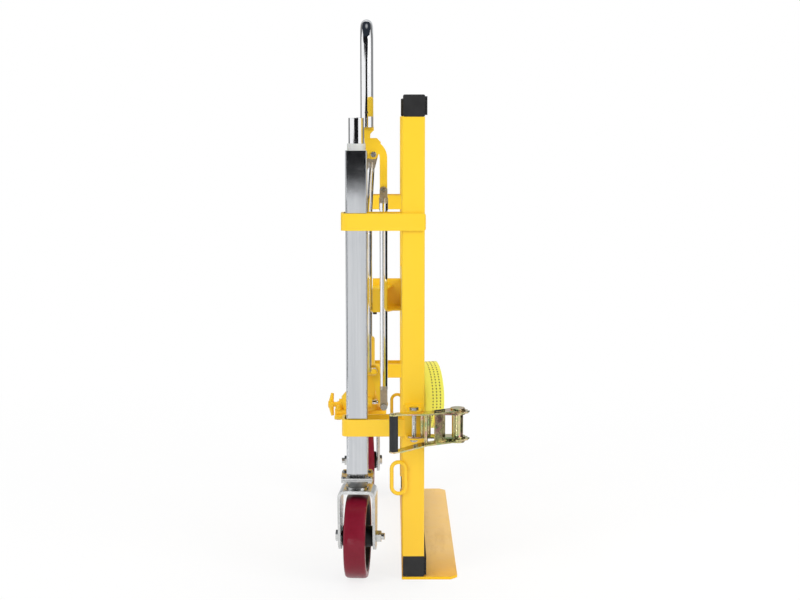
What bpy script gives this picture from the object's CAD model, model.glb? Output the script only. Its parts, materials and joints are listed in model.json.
"""Looks of the hydraulic furniture mover: materials, webbing, weld beads, floor, light and camera."""
import json
import math

import bpy
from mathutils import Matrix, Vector, noise

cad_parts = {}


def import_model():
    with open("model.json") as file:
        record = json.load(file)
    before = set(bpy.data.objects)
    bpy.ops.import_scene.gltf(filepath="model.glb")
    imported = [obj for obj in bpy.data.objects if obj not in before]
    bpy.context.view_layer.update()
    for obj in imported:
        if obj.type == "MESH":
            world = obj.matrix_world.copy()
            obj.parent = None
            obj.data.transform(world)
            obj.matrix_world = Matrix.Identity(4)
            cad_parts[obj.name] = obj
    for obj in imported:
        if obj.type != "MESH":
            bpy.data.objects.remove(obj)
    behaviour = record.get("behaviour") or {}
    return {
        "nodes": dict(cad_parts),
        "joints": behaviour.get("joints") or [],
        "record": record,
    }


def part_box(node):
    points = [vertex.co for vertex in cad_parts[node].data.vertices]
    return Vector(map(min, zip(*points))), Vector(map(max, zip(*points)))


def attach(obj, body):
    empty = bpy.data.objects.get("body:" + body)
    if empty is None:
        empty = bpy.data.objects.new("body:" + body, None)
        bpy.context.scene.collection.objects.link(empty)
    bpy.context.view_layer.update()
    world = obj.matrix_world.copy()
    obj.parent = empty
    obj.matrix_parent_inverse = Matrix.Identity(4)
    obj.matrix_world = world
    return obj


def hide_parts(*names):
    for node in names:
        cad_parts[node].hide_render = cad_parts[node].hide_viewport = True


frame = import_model()
NODES = frame["nodes"]
JOINTS = {joint["name"]: joint for joint in frame["joints"]}
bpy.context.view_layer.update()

# Where a finish changes on a piece, in metres
HANDLE_PIVOT_Z = JOINTS["pump_handle"]["pos_m"][2]
LEVER_PIVOT_Z = JOINTS["lever_pivot"]["pos_m"][2]
ROD_PIN_X, _, ROD_PIN_Z = JOINTS["pushrod_pin"]["pos_m"]
ARM_PIN_END = {"x": ROD_PIN_X, "z": ROD_PIN_Z, "radius": 0.0048, "y": -0.0600}
STUD_END = {"x": ROD_PIN_X, "z": LEVER_PIVOT_Z - (HANDLE_PIVOT_Z - ROD_PIN_Z), "radius": 0.0072, "y": -0.0360}
STAY_CHROME_Z = (0.3000, 0.7260)
PUSH_CHROME_Z = (0.3060, 0.6600)
PAWL_TAB_Z = 0.3186

# The strap's roll, on the same spiral as its solid
ROLL_CENTRE = Vector((-0.003, -0.19378, 0.316))
ROLL_YAW = math.radians(12)
ROLL_INNER = 0.017
ROLL_PITCH = 0.00183
ROLL_TURNS = 24
ROLL_STEPS = 120
BAND_W = 0.035
BAND_T = 0.0013

# Weld beads
BEAD_PITCH = 0.0011
BEAD_SIDES = 8
STRAP_H = 0.030

# The photograph's view
EYE = (-0.067, -2.731, 0.826)
LOOK_DOWN = 7.507
LOOK_RIGHT = 0.326
SENSOR_W = 36.0
PHOTO_W = 800
FOCAL_PIXELS = 1404


# Small helpers for node trees

class Tree:
    """A node tree, with a short call for each kind of node that the looks use."""

    def __init__(self, tree):
        self.tree = tree

    def node(self, kind, **inputs):
        made = self.tree.nodes.new("ShaderNode" + kind)
        for key, value in inputs.items():
            self.feed(made, key.replace("_", " "), value)
        return made

    def feed(self, made, key, value):
        """Links a socket to the input, or sets the input to a plain value."""
        if isinstance(value, bpy.types.NodeSocket):
            self.tree.links.new(value, made.inputs[key])
        else:
            made.inputs[key].default_value = value

    def remap(self, value, low, high, to_low=0.0, to_high=1.0):
        made = self.node("MapRange", Value=value, From_Min=low, From_Max=high, To_Min=to_low, To_Max=to_high)
        return made.outputs["Result"]

    def math(self, operation, a, b=0.0):
        made = self.node("Math")
        made.operation = operation
        self.feed(made, 0, a)
        self.feed(made, 1, b)
        return made.outputs["Value"]

    def measure(self, operation, a, b=(0, 0, 0)):
        """One number from one or two vectors: LENGTH, DISTANCE or DOT_PRODUCT."""
        made = self.node("VectorMath")
        made.operation = operation
        self.feed(made, 0, a)
        self.feed(made, 1, b)
        return made.outputs["Value"]

    def mix(self, factor, a, b):
        made = self.node("Mix")
        made.data_type = "RGBA"
        for index, value in ((0, factor), (6, a), (7, b)):
            self.feed(made, index, value)
        return made.outputs[2]

    def split(self, vector):
        """A vector's X, Y and Z."""
        return self.node("SeparateXYZ", Vector=vector).outputs


class Surface(Tree):
    """A new material, with its surface shader ready to take links."""

    def __init__(self, name):
        self.mat = bpy.data.materials.new(name)
        self.mat.use_nodes = True
        super().__init__(self.mat.node_tree)
        self.shader = self.tree.nodes["Principled BSDF"]
        self.coords = self.node("TexCoord").outputs

    def set(self, **values):
        for key, value in values.items():
            self.feed(self.shader, key.replace("_", " "), value)

    def place(self, scale=(1, 1, 1), offset=(0, 0, 0)):
        made = self.node("Mapping", Vector=self.coords["Object"], Scale=scale, Location=offset)
        return made.outputs["Vector"]

    def noise(self, scale, detail=3.0, rough=0.5, stretch=(1, 1, 1), offset=(0, 0, 0)):
        at = self.place(stretch, offset)
        return self.node("TexNoise", Vector=at, Scale=scale, Detail=detail, Roughness=rough).outputs["Fac"]

    def bump(self, height, strength, distance, normal=None):
        made = self.node("Bump", Height=height, Strength=strength, Distance=distance)
        if normal is not None:
            self.feed(made, "Normal", normal)
        return made.outputs["Normal"]

    def round_edges(self, radius):
        made = self.node("Bevel", Radius=radius)
        made.samples = 4
        return made.outputs["Normal"]

    def edge_mask(self, radius):
        """1 on convex and concave edges, 0 on flat faces."""
        flat = self.node("NewGeometry").outputs["Normal"]
        return self.remap(self.measure("DOT_PRODUCT", self.round_edges(radius), flat), 0.995, 0.85)


def rgba(r, g, b):
    """Display colour from 0 to 255 as the linear colour that a shader takes."""
    def linear(v):
        v = v / 255
        return v / 12.92 if v <= 0.04045 else ((v + 0.055) / 1.055) ** 2.4
    return (linear(r), linear(g), linear(b), 1.0)


# Materials

def rubbed_top(t, at, paint):
    """Loads have rubbed the faces that look up dull, darker at the right end and paler further left."""
    right_end, paler_from = -0.285, -0.14
    dull = t.mix(t.remap(at["Y"], right_end, paler_from), rgba(236, 176, 60), rgba(252, 210, 132))
    streak = t.remap(t.noise(46, 5, 0.65, stretch=(1, 0.16, 1), offset=(4, 2, 0)), 0.5, 0.68)
    dull = t.mix(t.math("MULTIPLY", streak, 0.25), dull, rgba(196, 136, 44))
    up = t.split(t.node("NewGeometry").outputs["Normal"])["Z"]
    patches = t.remap(t.noise(30, 5, 0.6), 0.25, 0.6, 0.8, 1)
    return t.mix(t.math("MULTIPLY", t.remap(up, 0.6, 0.95), patches), paint, dull)


def pin_end(t, at, x, z, radius, y):
    """1 on the end of a pin along Y, round (x, z) and out past y, 0 elsewhere."""
    dx = t.math("SUBTRACT", at["X"], x)
    dz = t.math("SUBTRACT", at["Z"], z)
    off = t.math("ADD", t.math("MULTIPLY", dx, dx), t.math("MULTIPLY", dz, dz))
    return t.math("MULTIPLY", t.math("LESS_THAN", off, radius * radius), t.math("LESS_THAN", at["Y"], y))


def yellow_paint(name, cast=False, worn_top=False, bare=None):
    """Paint over smooth or cast steel. bare gives the end of a pin that is left unpainted."""
    gloss_range = (0.42, 0.58) if cast else (0.34, 0.44)
    grain, depth, height, edge = (260, 0.5, 0.0010, 0.0018) if cast else (750, 0.12, 0.0004, 0.0010)
    t = Surface(name)
    at = t.split(t.coords["Object"])
    base = t.mix(t.remap(at["Z"], 0.05, 0.45), rgba(254, 203, 36), rgba(254, 212, 40))
    cloud = t.remap(t.noise(9, 4), 0.35, 0.7)
    base = t.mix(t.math("MULTIPLY", cloud, 0.25), base, rgba(252, 200, 38))
    worn = t.math("MULTIPLY", t.edge_mask(0.0012), t.remap(t.noise(260, 4, 0.7), 0.5, 0.62))
    base = t.mix(t.math("MULTIPLY", worn, 0.35), base, rgba(226, 190, 96))
    dust = t.remap(t.noise(55, 6, 0.65, offset=(3, 1, 2)), 0.62, 0.75)
    base = t.mix(t.math("MULTIPLY", dust, 0.10), base, rgba(190, 140, 40))
    gloss = t.remap(t.noise(120, 3), 0.3, 0.7, *gloss_range)
    t.set(Coat_Weight=0.0 if worn_top else 0.15, Coat_Roughness=0.12)
    if worn_top:
        base = rubbed_top(t, at, base)
        t.set(Specular_IOR_Level=0.2)
    if bare:
        end = pin_end(t, at, **bare)
        base = t.mix(end, base, t.mix(t.noise(160, 4), rgba(150, 150, 148), rgba(196, 196, 194)))
        gloss = t.math("SUBTRACT", gloss, t.math("MULTIPLY", end, 0.12))
        t.set(Metallic=end)
    t.set(Base_Color=base, Roughness=gloss)
    t.set(Normal=t.bump(t.noise(grain, 2), depth, height, t.round_edges(edge)))
    return t.mat


def black_bolt(name):
    """Black oxide, rubbed grey along the edges."""
    t = Surface(name)
    base = t.mix(t.remap(t.noise(40, 4), 0.35, 0.7), rgba(50, 49, 50), rgba(58, 57, 58))
    worn = t.math("MULTIPLY", t.edge_mask(0.0010), t.remap(t.noise(300, 4, 0.7), 0.48, 0.6))
    base = t.mix(t.math("MULTIPLY", worn, 0.4), base, rgba(120, 118, 114))
    t.set(Base_Color=base, Roughness=t.remap(t.noise(90, 3), 0.3, 0.7, 0.42, 0.58))
    t.set(Normal=t.bump(t.noise(900, 2), 0.2, 0.0004, t.round_edges(0.0010)))
    return t.mat


def cap_plastic(name):
    """Fine-grained black plastic."""
    t = Surface(name)
    grain = t.noise(1400, 2)
    base = t.mix(t.remap(t.noise(60, 3), 0.35, 0.7), rgba(38, 38, 39), rgba(46, 46, 47))
    t.set(Base_Color=base, Roughness=t.remap(grain, 0.3, 0.7, 0.55, 0.68), Specular_IOR_Level=0.35)
    t.set(Normal=t.bump(grain, 0.3, 0.0003, t.round_edges(0.0012)))
    return t.mat


def rubber(name, tone=(34, 34, 36), ribs=False):
    """Matt rubber. ribs run level, about every 5 mm up."""
    t = Surface(name)
    base = t.mix(t.remap(t.noise(70, 4), 0.35, 0.7), rgba(*tone), rgba(*[v + 8 for v in tone]))
    t.set(Base_Color=base, Roughness=t.remap(t.noise(200, 3), 0.3, 0.7, 0.6, 0.75))
    normal = t.bump(t.noise(1100, 2), 0.35, 0.0003, t.round_edges(0.0010))
    if ribs:
        wave = t.node("TexWave", Vector=t.place((1, 1, 64)), Scale=1.0, Distortion=0.0)
        wave.bands_direction = "Z"
        normal = t.bump(wave.outputs["Fac"], 0.9, 0.0010, normal)
    t.set(Normal=normal)
    return t.mat


def chrome(name, polished_z=None):
    """Polished plating. Below and above the heights polished_z, a rod's forged ends are left grey."""
    t = Surface(name)
    smudge = t.remap(t.noise(22, 5, 0.6), 0.35, 0.75)
    base = t.mix(t.math("MULTIPLY", smudge, 0.3), rgba(246, 247, 249), rgba(226, 227, 229))
    gloss = t.remap(t.noise(60, 5, 0.65), 0.35, 0.75, 0.04, 0.09)
    if polished_z:
        low, high = polished_z
        soft = 0.001
        z = t.split(t.coords["Object"])["Z"]
        end = t.math("MAXIMUM", t.remap(z, low + soft, low - soft), t.remap(z, high - soft, high + soft))
        base = t.mix(end, base, t.mix(t.noise(150, 4), rgba(176, 168, 158), rgba(214, 210, 204)))
        gloss = t.math("ADD", gloss, t.math("MULTIPLY", end, 0.34))
    t.set(Metallic=1.0, Base_Color=base, Roughness=gloss)
    lines = t.noise(500, 3, 0.6, stretch=(1, 1, 0.06))
    t.set(Normal=t.bump(lines, 0.05, 0.0002, t.round_edges(0.0006)))
    return t.mat


def post_steel(name):
    """Bright steel with faint drawn lines up the posts."""
    t = Surface(name)
    streak = t.remap(t.noise(150, 4, 0.6, stretch=(1, 1, 0.03)), 0.35, 0.7)
    base = t.mix(streak, rgba(196, 199, 203), rgba(208, 210, 213))
    stain = t.remap(t.noise(12, 5, 0.6, offset=(1, 4, 2)), 0.55, 0.75)
    base = t.mix(t.math("MULTIPLY", stain, 0.25), base, rgba(176, 180, 186))
    t.set(Metallic=1.0, Base_Color=base, Roughness=t.remap(t.noise(35, 4), 0.3, 0.7, 0.06, 0.10))
    lines = t.noise(420, 3, 0.6, stretch=(1, 1, 0.02))
    t.set(Normal=t.bump(lines, 0.10, 0.0002, t.round_edges(0.0012)))
    return t.mat


def bright_zinc(name, rough=(0.16, 0.30)):
    """Zinc plate in light and dark patches, rubbed bright along the edges."""
    t = Surface(name)
    base = t.mix(t.remap(t.noise(90, 5, 0.7), 0.35, 0.7), rgba(214, 215, 214), rgba(188, 190, 191))
    tint = t.remap(t.noise(26, 3, 0.5, offset=(7, 2, 5)), 0.5, 0.75)
    base = t.mix(t.math("MULTIPLY", tint, 0.25), base, rgba(198, 196, 182))
    base = t.mix(t.math("MULTIPLY", t.edge_mask(0.0010), 0.35), base, rgba(232, 232, 230))
    t.set(Metallic=1.0, Base_Color=base, Roughness=t.remap(t.noise(140, 4), 0.3, 0.7, *rough))
    t.set(Normal=t.bump(t.noise(420, 4), 0.10, 0.0003, t.round_edges(0.0010)))
    return t.mat


def yellow_zinc(name, tab_z=None):
    """Passivated zinc with its play of colours. Above tab_z it is dipped black."""
    t = Surface(name)
    base = t.mix(t.remap(t.noise(55, 3, 0.55), 0.38, 0.52), rgba(226, 202, 162), rgba(210, 206, 148))
    base = t.mix(t.remap(t.noise(48, 3, 0.5, offset=(2, 9, 4)), 0.52, 0.64), base, rgba(220, 178, 162))
    base = t.mix(t.remap(t.noise(65, 2, 0.5, offset=(8, 1, 6)), 0.58, 0.68), base, rgba(176, 196, 144))
    gloss = t.remap(t.noise(150, 4), 0.3, 0.7, 0.14, 0.26)
    metal = 1.0
    if tab_z is not None:
        dipped = t.math("GREATER_THAN", t.split(t.coords["Object"])["Z"], tab_z)
        base = t.mix(dipped, base, rgba(44, 43, 42))
        gloss = t.math("ADD", gloss, t.math("MULTIPLY", dipped, 0.3))
        metal = t.math("SUBTRACT", 1.0, dipped)
    t.set(Metallic=metal, Base_Color=base, Roughness=gloss)
    t.set(Normal=t.bump(t.noise(500, 4), 0.08, 0.0003, t.round_edges(0.0006)))
    return t.mat


def cylinder_steel(name):
    """Honed steel, inside the jack."""
    t = Surface(name)
    base = t.mix(t.noise(80, 4), rgba(170, 171, 172), rgba(190, 190, 190))
    t.set(Metallic=1.0, Base_Color=base, Roughness=t.remap(t.noise(200, 3), 0.3, 0.7, 0.2, 0.35))
    return t.mat


def white_plastic(name):
    """White nylon, slightly see-through at the skin."""
    t = Surface(name)
    base = t.mix(t.remap(t.noise(50, 4), 0.4, 0.7), rgba(220, 218, 215), rgba(210, 208, 204))
    t.set(Base_Color=base, Roughness=0.42, Subsurface_Weight=0.1)
    t.set(Normal=t.bump(t.noise(600, 2), 0.15, 0.0003, t.round_edges(0.0010)))
    return t.mat


def hub_plastic(name):
    """Black moulded hub."""
    t = Surface(name)
    base = t.mix(t.remap(t.noise(60, 4), 0.4, 0.7), rgba(20, 19, 20), rgba(30, 29, 29))
    t.set(Base_Color=base, Roughness=t.remap(t.noise(200, 3), 0.3, 0.7, 0.45, 0.6), Specular_IOR_Level=0.3)
    t.set(Normal=t.bump(t.noise(700, 2), 0.3, 0.0004, t.round_edges(0.0012)))
    return t.mat


def tread(name):
    """Burgundy polyurethane with pale scuffs round the wheel."""
    t = Surface(name)
    base = t.mix(t.remap(t.noise(24, 5, 0.6), 0.35, 0.7), rgba(120, 16, 38), rgba(132, 26, 48))
    scuff = t.remap(t.noise(130, 6, 0.7, stretch=(1, 0.3, 0.3)), 0.60, 0.72)
    base = t.mix(t.math("MULTIPLY", scuff, 0.2), base, rgba(140, 56, 72))
    t.set(Base_Color=base, Roughness=t.remap(t.noise(90, 4), 0.3, 0.7, 0.30, 0.46))
    t.set(Coat_Weight=0.25, Coat_Roughness=0.07, Specular_IOR_Level=0.15)
    t.set(Normal=t.bump(t.noise(160, 4), 0.15, 0.0005, t.round_edges(0.0020)))
    return t.mat


def webbing(name):
    """Woven band with three rows of dark stitches. The map runs in metres: U along the band, V across it."""
    warp_pitch, weft_pitch, weft_slant = 0.0016, 0.0012, 0.5
    stitch_rows, stitch_half, stitch_pitch = (0.0143, 0.0211, 0.0279), 0.00105, 0.0056
    t = Surface(name)
    uv = t.split(t.coords["UV"])
    along, across = uv["X"], uv["Y"]

    def ripple(value, pitch):
        return t.math("SINE", t.math("MULTIPLY", value, 2 * math.pi / pitch))

    warp = ripple(across, warp_pitch)
    weft = ripple(t.math("ADD", along, t.math("MULTIPLY", across, weft_slant)), weft_pitch)
    weave = t.math("ADD", t.math("MULTIPLY", warp, 0.6), t.math("MULTIPLY", weft, 0.6))
    base = t.mix(t.remap(weave, -1.2, 1.2), rgba(255, 250, 60), rgba(255, 255, 124))
    rows = 0.0
    for row in stitch_rows:
        near = t.math("ABSOLUTE", t.math("SUBTRACT", across, row))
        rows = t.math("MAXIMUM", rows, t.math("LESS_THAN", near, stitch_half))
    mark = t.math("MULTIPLY", rows, t.math("GREATER_THAN", ripple(along, stitch_pitch), 0.0))
    base = t.mix(t.math("MULTIPLY", mark, 0.95), base, rgba(44, 50, 20))
    soil = t.remap(t.noise(30, 5, 0.6), 0.5, 0.75)
    base = t.mix(t.math("MULTIPLY", soil, 0.06), base, rgba(190, 190, 50))
    t.set(Base_Color=base, Roughness=0.72, Sheen_Weight=0.25)
    t.set(Normal=t.bump(weave, 0.3, 0.0004))
    return t.mat


RECIPES = {
    "yellow_paint": (yellow_paint, {}),
    "yellow_casting": (yellow_paint, {"cast": True}),
    "toe_paint": (yellow_paint, {"worn_top": True}),
    "rocker_paint": (yellow_paint, {"bare": ARM_PIN_END}),
    "lever_paint": (yellow_paint, {"bare": STUD_END}),
    "black_bolt": (black_bolt, {}),
    "pad_rubber": (rubber, {"tone": (30, 30, 32), "ribs": True}),
    "cap_plastic": (cap_plastic, {}),
    "post_steel": (post_steel, {}),
    "bright_zinc": (bright_zinc, {}),
    "pressed_zinc": (bright_zinc, {"rough": (0.34, 0.46)}),
    "yellow_zinc": (yellow_zinc, {}),
    "tab_zinc": (yellow_zinc, {"tab_z": PAWL_TAB_Z}),
    "chrome": (chrome, {}),
    "stay_chrome": (chrome, {"polished_z": STAY_CHROME_Z}),
    "push_chrome": (chrome, {"polished_z": PUSH_CHROME_Z}),
    "white_plastic": (white_plastic, {}),
    "webbing": (webbing, {}),
    "grip_rubber": (rubber, {"tone": (38, 39, 42)}),
    "seal_rubber": (rubber, {}),
    "hub_plastic": (hub_plastic, {}),
    "tread": (tread, {}),
    "cylinder_steel": (cylinder_steel, {}),
}
MATERIALS = {name: make(name, **options) for name, (make, options) in RECIPES.items()}

OWN_FINISH = {
    "toe_plate": "toe_paint",
    "handle_rocker": "rocker_paint",
    "pump_lever": "lever_paint",
    "drive_pawl": "tab_zinc",
    "stay_rod": "stay_chrome",
    "pushrod": "push_chrome",
    "caster_plates": "pressed_zinc",
    "lever_pin": "yellow_paint",
    "jack_bolts": "yellow_casting",
}


def dress_cad_nodes():
    """Each CAD node takes its own finish, or else the material of its slot in the record."""
    for sub in frame["record"]["subparts"]:
        mesh = NODES[sub["node"]].data
        mesh.materials.clear()
        mesh.materials.append(MATERIALS[OWN_FINISH.get(sub["node"], sub["material_slot"])])


# Pieces

def piece(name, verts, faces, material, body):
    """A smooth mesh that rides on a CAD body and takes its finish from the slot of its material's name."""
    mesh = bpy.data.meshes.new(name)
    mesh.from_pydata(verts, [], faces)
    mesh.validate()
    mesh.polygons.foreach_set("use_smooth", [True] * len(mesh.polygons))
    mesh.materials.append(MATERIALS[material])
    obj = bpy.data.objects.new(name, mesh)
    bpy.context.scene.collection.objects.link(obj)
    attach(obj, body)
    return obj


def tube_faces(first, rings, count, flip=False):
    """Sides and end caps of a tube. Its rings have count points each, from point number first on."""
    faces = []
    for i in range(rings - 1):
        for k in range(count):
            a, b = first + i * count + k, first + i * count + (k + 1) % count
            faces.append((a, a + count, b + count, b) if flip else (a, b, b + count, a + count))
    start = tuple(range(first, first + count))
    end = tuple(range(first + (rings - 1) * count, first + rings * count))
    return faces + ([start, end[::-1]] if flip else [start[::-1], end])


def rolled_webbing():
    """The strap's band, wound on its hook, with rounded edges."""
    axis = Vector((math.cos(ROLL_YAW), math.sin(ROLL_YAW), 0))
    out = Vector((-math.sin(ROLL_YAW), math.cos(ROLL_YAW), 0))
    outer = [(-0.485, 1.0), (-0.25, 1.0), (0.0, 1.0), (0.25, 1.0), (0.485, 1.0)]
    inner = [(across, 0.0) for across, _ in reversed(outer)]
    profile = [(-0.5, 0.3), (-0.5, 0.7), *outer, (0.5, 0.7), (0.5, 0.3), *inner]
    sway_size, sway_pace = 0.0005, 0.35
    verts, uvs = [], []
    length = 0.0
    rings = ROLL_TURNS * ROLL_STEPS + 1
    for i in range(rings):
        a = 2 * math.pi * i / ROLL_STEPS
        r = ROLL_INNER + ROLL_PITCH * i / ROLL_STEPS
        if i:
            length += r * 2 * math.pi / ROLL_STEPS
        sway = sway_size * noise.noise(Vector((a * sway_pace, 0.7, 0.0)))
        for across, proud in profile:
            rr = r + BAND_T * proud
            verts.append(ROLL_CENTRE + axis * (across * BAND_W + sway) + out * (rr * math.sin(a))
                         + Vector((0, 0, rr * math.cos(a))))
            uvs.append((length, (across + 0.5) * BAND_W))
    faces = tube_faces(0, rings, len(profile), flip=True)
    obj = piece("rolled_webbing", verts, faces, "webbing", "lift_frame")
    layer = obj.data.uv_layers.new(name="band")
    for loop in obj.data.loops:
        layer.data[loop.index].uv = uvs[loop.vertex_index]
    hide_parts("webbing_roll")


def weld_beads(name, lines, body, radius, material="yellow_paint"):
    """Rippled weld beads along straight lines. Each line is (start, end)."""
    verts, faces = [], []
    for start, end in lines:
        start, end = Vector(start), Vector(end)
        steps = max(2, round((end - start).length / BEAD_PITCH))
        way = (end - start).normalized()
        side = way.orthogonal().normalized()
        up = way.cross(side)
        faces += tube_faces(len(verts), steps + 1, BEAD_SIDES)
        for i in range(steps + 1):
            p = start.lerp(end, i / steps)
            swell = 1 + 0.16 * math.sin(i * 2 * math.pi / 3.0) + 0.12 * noise.noise(p * 160)
            swell *= min(1.0, 0.35 + 0.35 * min(i, steps - i))
            for k in range(BEAD_SIDES):
                a = 2 * math.pi * k / BEAD_SIDES
                verts.append(p + (side * math.cos(a) + up * math.sin(a)) * radius * swell)
    piece(name, verts, faces, material, body)


def line_x(x0, x1, y, z):
    return (x0, y, z), (x1, y, z)


def line_y(x, y0, y1, z):
    return (x, y0, z), (x, y1, z)


def line_z(x, y, z0, z1):
    return (x, y, z0), (x, y, z1)


def post_welds():
    """Beads where straps, loops, beam and bars meet the front posts."""
    post_low, post_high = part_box("front_post_right")
    strap_low, strap_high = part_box("guide_straps_right")
    loop_low, loop_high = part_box("strap_loops")
    beam_low, beam_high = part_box("lift_beam")
    bottom_low, bottom_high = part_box("bottom_bar")
    back, front, bar_back = post_low.x, post_high.x, bottom_low.x
    outer, inner = -post_low.y, -post_high.y
    straps = (strap_low.z, strap_high.z - STRAP_H)
    loop_z = (loop_low.z + loop_high.z) / 2
    lines = []
    for s in (-1, 1):
        face, edge = s * (outer + 0.0010), s * (outer + 0.0012)
        lines += [line_x(back + 0.004, front - 0.003, face, z + STRAP_H) for z in straps]
        lines += [line_x(x, x + 0.008, face, z) for z in straps for x in (back + 0.001, front - 0.012)]
        lines += [line_z(front, edge, z + 0.001, z + STRAP_H - 0.001) for z in straps]
        lines += [line_z(x, edge, z, z + 0.010)
                  for x in (back + 0.003, back + 0.010) for z in (loop_z - 0.014, loop_z + 0.004)]
        inside = s * (inner - 0.0005)
        lines += [line_x(back + 0.003, front - 0.003, inside, z) for z in (beam_low.z, beam_high.z)]
        for z in (post_low.z, post_high.z):
            lines.append(line_x(bar_back + 0.002, front - 0.004, s * (inner + 0.0005), z))
            lines.append(line_y(bar_back, s * (inner + 0.005), s * (outer - 0.006), z))
    weld_beads("frame_weld_beads", lines, "lift_frame", 0.0017)


def plate_welds():
    """Short beads that tack the bottom bar to the toe plate."""
    bar_back, plate_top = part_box("bottom_bar")[0].x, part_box("toe_plate")[1].z
    tacks = (-0.28, -0.13, 0.02, 0.13, 0.22)
    lines = [line_y(bar_back, y, y + 0.05, plate_top + 0.0005) for y in tacks]
    weld_beads("plate_weld_beads", lines, "lift_frame", 0.0020)


def rear_welds():
    """Beads where the jack's beam and the top cross tube meet the rear posts."""
    beam_low, beam_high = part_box("jack_beam")
    tube_low, tube_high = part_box("top_cross_tube")
    back, front, end = beam_low.x + 0.002, beam_high.x - 0.002, beam_high.y - 0.0002
    heights = (beam_low.z, beam_high.z, tube_low.z, tube_high.z - 0.0005)
    lines = [line_x(back, front, s * end, z) for s in (-1, 1) for z in heights]
    weld_beads("rear_weld_beads", lines, "chassis", 0.0016, "post_steel")


# Stage, light and camera

def white_to_lens(t):
    """1 where the lens, a reflection or a see-through piece looks, 0 for light that falls on the object."""
    rays = t.node("LightPath").outputs
    seen = t.math("MAXIMUM", rays["Is Camera Ray"], rays["Is Glossy Ray"])
    return t.math("MAXIMUM", seen, rays["Is Transmission Ray"])


def floor():
    """A pale floor that keeps the object's shadow and turns plain white further out."""
    bpy.ops.mesh.primitive_plane_add(size=60, location=(0, 0, 0))
    obj = bpy.context.object
    obj.name = "floor"
    t = Surface("floor")
    t.set(Base_Color=(0.92, 0.92, 0.92, 1), Roughness=0.9, Specular_IOR_Level=0.1)
    lamp = t.node("Emission", Strength=1.0)
    fade = t.remap(t.measure("LENGTH", t.coords["Object"]), 0.4, 1.8, 0.80, 1.0)
    mixed = t.node("MixShader", Fac=t.math("MULTIPLY", fade, white_to_lens(t)))
    t.feed(mixed, 1, t.shader.outputs[0])
    t.feed(mixed, 2, lamp.outputs[0])
    t.feed(t.tree.nodes["Material Output"], "Surface", mixed.outputs[0])
    obj.data.materials.append(t.mat)


def glow(name, tone, strength, middle, height):
    """A shining material. With middle, that is its tone above the object, at the card's height."""
    mat = bpy.data.materials.new(name)
    mat.use_nodes = True
    mat.node_tree.nodes.clear()
    t = Tree(mat.node_tree)
    if middle:
        away = t.measure("DISTANCE", t.node("TexCoord").outputs["Object"], (0, 0, height))
        tone = t.mix(t.remap(away, 0.4, 1.1), middle, tone)
    lamp = t.node("Emission", Color=tone, Strength=strength)
    t.feed(t.node("OutputMaterial"), "Surface", lamp.outputs["Emission"])
    return mat


def card(name, corners, tone, middle=None, strength=1.0):
    """A studio card that only shows in reflections."""
    mesh = bpy.data.meshes.new(name)
    mesh.from_pydata(corners, [], [tuple(range(len(corners)))])
    mesh.materials.append(glow(name, tone, strength, middle, corners[0][2]))
    obj = bpy.data.objects.new(name, mesh)
    bpy.context.scene.collection.objects.link(obj)
    obj.visible_camera = False
    obj.visible_diffuse = False
    obj.visible_shadow = False
    obj.visible_transmission = False


def upright(x0, x1, y0, y1, z0, z1):
    return [(x0, y0, z0), (x1, y1, z0), (x1, y1, z1), (x0, y0, z1)]


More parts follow.
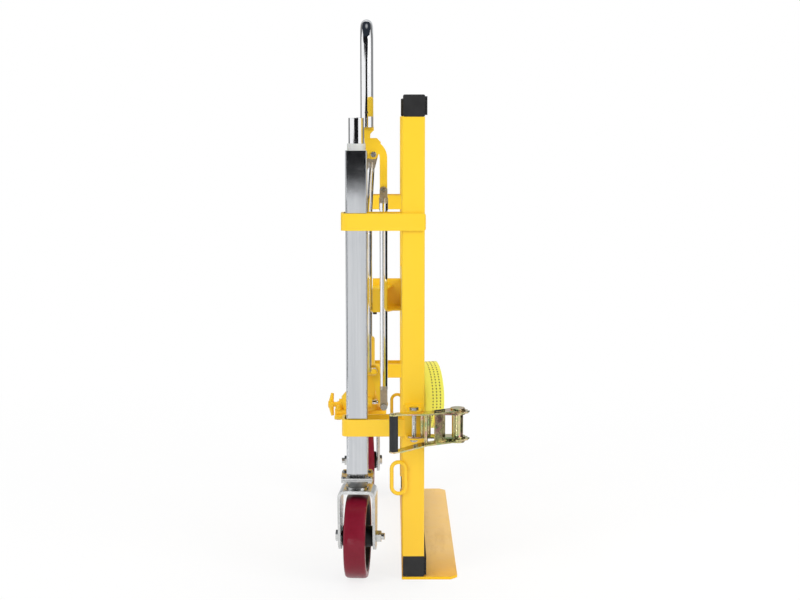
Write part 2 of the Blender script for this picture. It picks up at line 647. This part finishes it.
def cards():
    """The cards that the metal mirrors: dark shapes in front and above, grey ones low and behind."""
    front_y, top_z = -4.4, 4.0
    front = [(-4.5, 0.48), (2.5, 0.48), (2.5, 0.86), (1.3, 0.93), (1.3, 1.12), (3.9, 1.18), (6.0, 1.4),
             (9.0, 3.6), (9.0, 4.0), (-9.0, 4.0), (-9.0, 3.6), (-6.0, 1.4), (-3.9, 1.18), (-1.3, 1.12),
             (-1.3, 0.93), (-2.5, 0.86), (-2.5, 0.70), (-4.5, 0.68)]
    above = [(-9.0, -4.4), (9.0, -4.4), (4.7, -1.2), (4.1, 1.2), (4.5, 5.3), (1.9, 3.6), (0.0, 2.4),
             (-1.9, 3.6), (-4.5, 5.3), (-4.1, 1.2), (-4.7, -1.2)]
    dark, low, grey = rgba(30, 30, 30), rgba(40, 40, 40), rgba(120, 120, 120)
    card("card_front", [(x, front_y, z) for x, z in front], rgba(26, 26, 28))
    card("card_above", [(x, y, top_z) for x, y in above], rgba(44, 50, 58), middle=rgba(168, 170, 172))
    card("card_low_left", upright(-0.80, -0.27, -1.2, -1.2, 0.0, 0.62), dark)
    card("card_highlight", upright(-0.345, -0.275, -1.15, -1.15, 0.0, 0.2), rgba(255, 255, 255), strength=5.0)
    card("card_low_middle", upright(-0.02, 0.10, -1.2, -1.2, 0.0, 0.62), dark)
    card("card_low_right", upright(0.95, 0.95, -0.95, 1.6, 0.0, 0.62), low)
    card("card_low_far", upright(-0.95, -0.95, 0.25, 1.6, 0.0, 0.62), low)
    card("card_back_right", upright(1.3, 4.0, 2.6, 0.9, 0.0, 3.2), grey)
    card("card_back_left", upright(-4.0, -1.3, 0.9, 2.6, 0.0, 3.2), grey)
    card("card_back", upright(-3.2, 3.2, 6.0, 6.0, 0.0, 6.0), rgba(196, 198, 200))


def softbox(name, centre, aim_z, side, power, mirrored=False):
    """A square lamp that looks at the height aim_z on the object's axis."""
    lamp = bpy.data.lights.new(name, "AREA")
    lamp.shape = "RECTANGLE"
    lamp.size = lamp.size_y = side
    lamp.energy = power
    obj = bpy.data.objects.new(name, lamp)
    obj.location = centre
    obj.rotation_euler = (Vector((0, 0, aim_z)) - Vector(centre)).to_track_quat("-Z", "Y").to_euler()
    obj.visible_glossy = mirrored
    bpy.context.scene.collection.objects.link(obj)


def world():
    """A white surround for the lens and for reflections, which lights the object less."""
    made = bpy.data.worlds.new("studio")
    bpy.context.scene.world = made
    made.use_nodes = True
    t = Tree(made.node_tree)
    back = t.tree.nodes["Background"]
    t.feed(back, "Color", (1, 1, 1, 1))
    t.feed(back, "Strength", t.remap(white_to_lens(t), 0.0, 1.0, 0.55, 1.0))


def camera():
    lens = bpy.data.cameras.new("camera")
    lens.sensor_width = SENSOR_W
    lens.lens = SENSOR_W * FOCAL_PIXELS / PHOTO_W
    obj = bpy.data.objects.new("camera", lens)
    obj.location = EYE
    obj.rotation_euler = (math.radians(90 - LOOK_DOWN), 0, math.radians(-LOOK_RIGHT))
    bpy.context.scene.collection.objects.link(obj)
    bpy.context.scene.camera = obj


dress_cad_nodes()
rolled_webbing()
post_welds()
plate_welds()
rear_welds()
floor()
cards()
softbox("key", (-2.2, -2.6, 2.6), 0.45, 1.8, 46)
softbox("fill", (2.6, -2.2, 1.9), 0.45, 1.8, 40, mirrored=True)
softbox("top", (0.0, 0.6, 3.2), 0.40, 2.2, 28)
softbox("rear", (0.5, 3.2, 2.2), 0.45, 2.0, 26)
world()
camera()
bpy.context.scene.view_settings.view_transform = "Standard"
